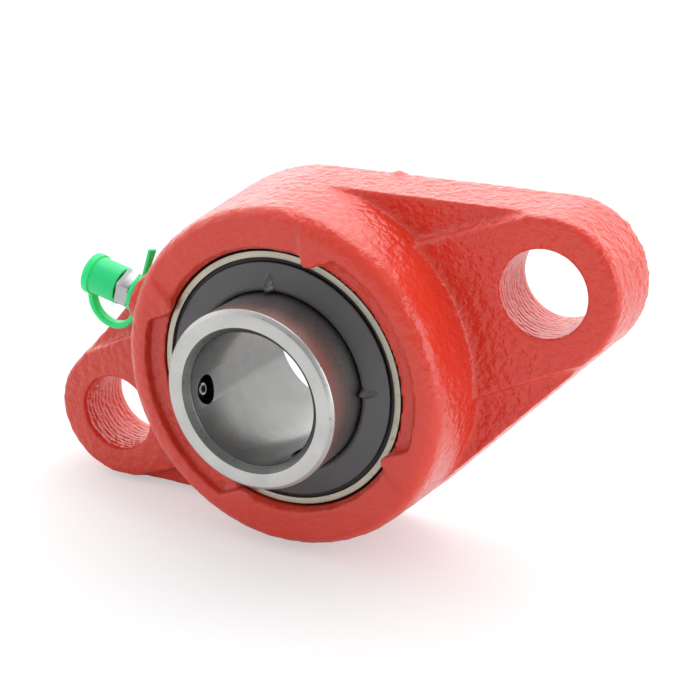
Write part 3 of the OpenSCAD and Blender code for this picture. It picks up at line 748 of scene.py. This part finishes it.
def bright_zinc():
    """Bright zinc plating: a pale, faintly blue mirror that is softened by a thin passivated skin."""
    material, tree, output, place = start_material("bright_zinc_plating")
    skin = add(tree, "ShaderNodeTexNoise", {"Vector": place, "Scale": per_mm(1.2), "Detail": 4.0}).outputs["Fac"]
    colour = add(tree, "ShaderNodeMix", {0: skin, 6: linear("#aeb3b8"), 7: linear("#c6c6c2")}, data_type="RGBA")
    haze = add(tree, "ShaderNodeMapRange", {0: skin, 3: 0.2, 4: 0.36}).outputs[0]
    bump = add(tree, "ShaderNodeBump", {"Strength": 0.2, "Distance": 0.02 * MM, "Height": skin}).outputs[0]
    shader = add(tree, "ShaderNodeBsdfPrincipled", {
        "Base Color": colour.outputs[2], "Metallic": 1.0, "Roughness": haze, "Normal": bump,
    })
    tree.links.new(shader.outputs[0], output.inputs[0])
    return material


def join(whole, part):
    """Adds the faces of one drawn body to another's."""
    spare = bpy.data.meshes.new("part")
    part.to_mesh(spare)
    part.free()
    whole.from_mesh(spare)
    bpy.data.meshes.remove(spare)


# Stem and head reach a little way into the hexagon, so that the three look like one turned piece
stem_outline = [
    (FILL_R, BOSS_REACH - STEM_DEPTH), (NECK_R - STEM_BEVEL, BOSS_REACH - STEM_DEPTH),
    (NECK_R - NECK_SLACK, BOSS_REACH - STEM_BEVEL_TOP), (NECK_R - NECK_SLACK, HEX_LOW + HEX_OVERLAP),
    (FILL_R, HEX_LOW + HEX_OVERLAP),
]
head_outline = [
    (FILL_R, HEX_TOP - HEX_OVERLAP), (HEAD_R * HEAD_BASE_SHARE, HEX_TOP - HEX_OVERLAP),
    (HEAD_R * HEAD_WAIST_SHARE, HEX_TOP + WAIST_UP), (HEAD_R, HEX_TOP + CROWN_UP),
    (HEAD_R, HEX_TOP + CROWN_END_UP), (HEAD_R * HEAD_TIP_SHARE, HEAD_TOP), (FILL_R, HEAD_TOP),
]
nipple = hexagon(HEX_ACROSS, HEX_TOP - HEX_LOW, (HEX_LOW + HEX_TOP) / 2)
round_edges(nipple, HEX_EDGE, segments=2)
for outline in (stem_outline, head_outline):
    turned = spun(outline, steps=64)
    round_edges(turned, NIPPLE_EDGE, above=30)
    join(nipple, turned)
place_piece("zinc_nipple", to_mesh(nipple, "zinc_nipple", nipple_axes), [bright_zinc()], "housing",
            ["grease_nipple"])

# Check spring
# A small coil of spring wire that holds the check ball against the nipple's mouth. It sits between the
# nipple and the ball, and on the real nipple it shortens when grease pushes the ball in.
coil_mesh = welded_copy("nipple_spring", "check_spring", 0.0001 * MM)
spring_piece = place_piece("check_spring", coil_mesh, [pressed], None, ["nipple_spring"])
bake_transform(spring_piece)

# Grease cap and strap
# Soft green polyethylene, moulded in one shot and snapped over the nipple's head. A strap loops from
# the cap's disc to a ring under the hexagon, with a short tab to pull it by.
CAP_IN_R = 3.33
CAP_OUT_R = 3.73
CAP_MOUTH = 40.096
DISC_LOW = 45.976
DISC_T = 1.5
DISC_R = 4.13
CAP_EDGE = 0.18
NECK_RING_R = 3.95
NECK_RING_T = 1.2
NECK_RING_GAP = 0.1
NECK_RING_EDGE = 0.3
RING_MIDDLE = 36.296
STRAP_T = 1.2
STRAP_W = 2.2
STRAP_EDGE = 0.4
STRAP_MIDDLE_R = 5.255
STRAP_SIDE = 3.422
STRAP_TURN = 174
TAB_LENGTH = 9.2
TAB_LEAN = 12
TAB_NARROWING = 0.55
TAB_EDGE = 0.25


def green_polyethylene():
    """Soft low-density polyethylene: a strong green that lets light through its thin walls, with a waxy gloss."""
    material, tree, output, place = start_material("green_polyethylene")
    flow = add(tree, "ShaderNodeTexNoise", {"Vector": place, "Scale": per_mm(3), "Detail": 2.0}).outputs["Fac"]
    colour = add(tree, "ShaderNodeMix", {0: flow, 6: linear("#1cf88c"), 7: linear("#38fe9c")}, data_type="RGBA")
    wax = add(tree, "ShaderNodeMapRange", {0: flow, 3: 0.32, 4: 0.42}).outputs[0]
    bump = add(tree, "ShaderNodeBump", {"Strength": 0.2, "Distance": 0.05 * MM, "Height": flow}).outputs[0]
    shader = add(tree, "ShaderNodeBsdfPrincipled", {
        "Base Color": colour.outputs[2], "Roughness": wax, "IOR": 1.5, "Normal": bump,
        "Subsurface Weight": 0.35, "Subsurface Radius": (0.4, 1.0, 0.5), "Subsurface Scale": 1.5 * MM,
    })
    tree.links.new(shader.outputs[0], output.inputs[0])
    return material


polyethylene = green_polyethylene()
cap_outline = [
    (0, DISC_LOW), (CAP_IN_R, DISC_LOW), (CAP_IN_R, CAP_MOUTH), (CAP_OUT_R, CAP_MOUTH),
    (CAP_OUT_R, DISC_LOW), (DISC_R, DISC_LOW), (DISC_R, DISC_LOW + DISC_T), (0, DISC_LOW + DISC_T),
]
cap = spun(cap_outline, steps=96)
round_edges(cap, CAP_EDGE, above=30)
place_piece("green_cap", to_mesh(cap, "green_cap", nipple_axes), [polyethylene], "nipple_cap", ["nipple_cap"])

loop_axes = (
    Matrix.Translation((0, STRAP_SIDE, RING_MIDDLE + STRAP_MIDDLE_R)) @ Matrix.Rotation(math.radians(90), 4, "Y")
)
# The strap's section is a flat rectangle with round corners, which is swung round the loop's middle
strap = bmesh.new()
bmesh.ops.create_grid(strap, x_segments=1, y_segments=1, size=0.5)
bmesh.ops.scale(strap, verts=strap.verts, vec=(STRAP_T, STRAP_W, 1))
bmesh.ops.bevel(
    strap, geom=strap.verts, offset=STRAP_EDGE, affect="VERTICES", segments=4, profile=0.5, material=-1,
    clamp_overlap=True,
)
bmesh.ops.rotate(strap, verts=strap.verts, cent=(0, 0, 0), matrix=Matrix.Rotation(math.radians(90), 3, "X"))
bmesh.ops.translate(strap, verts=strap.verts, vec=(STRAP_MIDDLE_R, 0, 0))
bmesh.ops.spin(
    strap, geom=strap.faces[:], axis=(0, 0, 1), cent=(0, 0, 0), angle=math.radians(STRAP_TURN), steps=48,
    use_duplicate=False,
)
strap.transform(loop_axes)
ring_hole_r = NECK_R + NECK_RING_GAP
ring_low, ring_high = RING_MIDDLE - NECK_RING_T / 2, RING_MIDDLE + NECK_RING_T / 2
neck_ring = spun([
    (ring_hole_r, ring_low), (NECK_RING_R, ring_low), (NECK_RING_R, ring_high), (ring_hole_r, ring_high),
], steps=72)
round_edges(neck_ring, NECK_RING_EDGE)
tab = bmesh.new()
bmesh.ops.create_cube(tab, size=1)
tab_reach = TAB_LENGTH - NECK_R - 2 * NECK_RING_GAP
bmesh.ops.scale(tab, verts=tab.verts, vec=(STRAP_W, tab_reach, STRAP_T * 2 / 3))
for vertex in tab.verts:
    if vertex.co.y > 0:
        vertex.co.x *= TAB_NARROWING
round_edges(tab, TAB_EDGE)
tab.transform(
    Matrix.Translation((0, 0, RING_MIDDLE)) @ Matrix.Rotation(math.radians(TAB_LEAN), 4, "Z")
    @ Matrix.Translation((0, -TAB_LENGTH + tab_reach / 2, 0))
)
join(strap, neck_ring)
join(strap, tab)
strap_piece = place_piece("green_strap", to_mesh(strap, "green_strap", nipple_axes), [polyethylene], None,
                          ["cap_strap"])
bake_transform(strap_piece)

# Floor, light and camera
# A white sheet of paper on a table, lit from a wide soft box above and behind, a second one at the right,
# and the white of the room all round.
FLOOR_DEPTH = 0.02 * MM
FLOOR_HALF = 3
PAPER_GLOW = 0.45
ROOM_BELOW = 0.28
ROOM_ABOVE = 0.55
BACKDROP_LIGHT = 1.2
WINDOW_LIGHT = 0.85
OVERHEAD_PLACE = (0.05, 0.15, 0.55)
RIGHT_SIDE_PLACE = (0.5, -0.08, 0.12)
LENS = 76.99
SENSOR_WIDTH = 36
CAMERA_PLACE = (0.12688, -0.2422, 0.10236)
CAMERA_TURN = (68.990, 0.337, 27.215)


def paper_floor():
    """White paper that keeps the unit's soft shadow and fades to the white of the background."""
    material, tree, output, place = start_material("white_paper")
    fibre = add(tree, "ShaderNodeTexNoise", {"Vector": place, "Scale": per_mm(2), "Detail": 2.0}).outputs["Fac"]
    tone = add(tree, "ShaderNodeMix", {0: fibre, 6: linear("#e9e9e9"), 7: linear("#ececec")}, data_type="RGBA")
    paper = add(tree, "ShaderNodeBsdfDiffuse", {"Color": tone.outputs[2]}).outputs[0]
    shadow_catch = add(tree, "ShaderNodeBsdfDiffuse", {"Color": linear("#c8c8c8")}).outputs[0]
    glow = add(tree, "ShaderNodeEmission", {"Color": (1, 1, 1, 1), "Strength": PAPER_GLOW}).outputs[0]
    lifted = add(tree, "ShaderNodeAddShader", {0: shadow_catch, 1: glow}).outputs[0]
    seen = add(tree, "ShaderNodeLightPath").outputs["Is Camera Ray"]
    both = add(tree, "ShaderNodeMixShader", {0: seen, 1: paper, 2: lifted}).outputs[0]
    tree.links.new(both, output.inputs[0])
    return material


floor = bmesh.new()
bmesh.ops.create_grid(floor, x_segments=1, y_segments=1, size=FLOOR_HALF)
floor.transform(Matrix.Translation((0, 0, cad_low.z - FLOOR_DEPTH)))
floor_mesh = bpy.data.meshes.new("floor")
floor.to_mesh(floor_mesh)
floor.free()
floor_mesh.materials.append(paper_floor())
floor_piece = put_in_scene("floor", floor_mesh)

world = bpy.data.worlds.new("white_room")
bpy.context.scene.world = world
world.use_nodes = True
sky = world.node_tree
sky.nodes.clear()
rays = add(sky, "ShaderNodeLightPath").outputs
through = add(sky, "ShaderNodeMath", {0: rays["Is Camera Ray"], 1: rays["Is Transmission Ray"]}, operation="MAXIMUM")
way = add(sky, "ShaderNodeSeparateXYZ", {0: add(sky, "ShaderNodeTexCoord").outputs["Generated"]})
height = add(sky, "ShaderNodeMapRange", {0: way.outputs[2], 1: -0.2, 2: 0.9, 3: ROOM_BELOW, 4: ROOM_ABOVE}).outputs[0]
backdrop = add(sky, "ShaderNodeMapRange", {0: way.outputs[1], 1: 0.2, 2: 0.8, 3: 0.0, 4: BACKDROP_LIGHT}).outputs[0]
window = add(sky, "ShaderNodeMapRange", {0: way.outputs[0], 1: -0.1, 2: -0.9, 3: 0.0, 4: WINDOW_LIGHT}).outputs[0]
level = add(sky, "ShaderNodeMath", {0: height, 1: backdrop}, operation="ADD").outputs[0]
level = add(sky, "ShaderNodeMath", {0: level, 1: window}, operation="ADD").outputs[0]
room = add(sky, "ShaderNodeBackground", {"Color": (1, 1, 1, 1), "Strength": level}).outputs[0]
white = add(sky, "ShaderNodeBackground", {"Color": (1, 1, 1, 1), "Strength": 1.0}).outputs[0]
shown = add(sky, "ShaderNodeMixShader", {0: through.outputs[0], 1: room, 2: white}).outputs[0]
add(sky, "ShaderNodeOutputWorld", {0: shown})


def soft_box(name, place, size, power):
    """A square area lamp that points at the middle of the unit."""
    data = bpy.data.lights.new(name, "AREA")
    data.shape, data.size, data.energy = "SQUARE", size, power
    lamp = put_in_scene(name, data)
    lamp.location = place
    lamp.rotation_euler = (-Vector(place)).to_track_quat("-Z", "Y").to_euler()


soft_box("overhead", OVERHEAD_PLACE, size=0.5, power=1.4)
soft_box("right_side", RIGHT_SIDE_PLACE, size=0.35, power=0.9)

camera_data = bpy.data.cameras.new("camera")
camera_data.lens, camera_data.sensor_width = LENS, SENSOR_WIDTH
camera = put_in_scene("camera", camera_data)
camera.location = CAMERA_PLACE
camera.rotation_euler = [math.radians(angle) for angle in CAMERA_TURN]
bpy.context.scene.camera = camera
bpy.context.scene.view_settings.view_transform = "Standard"
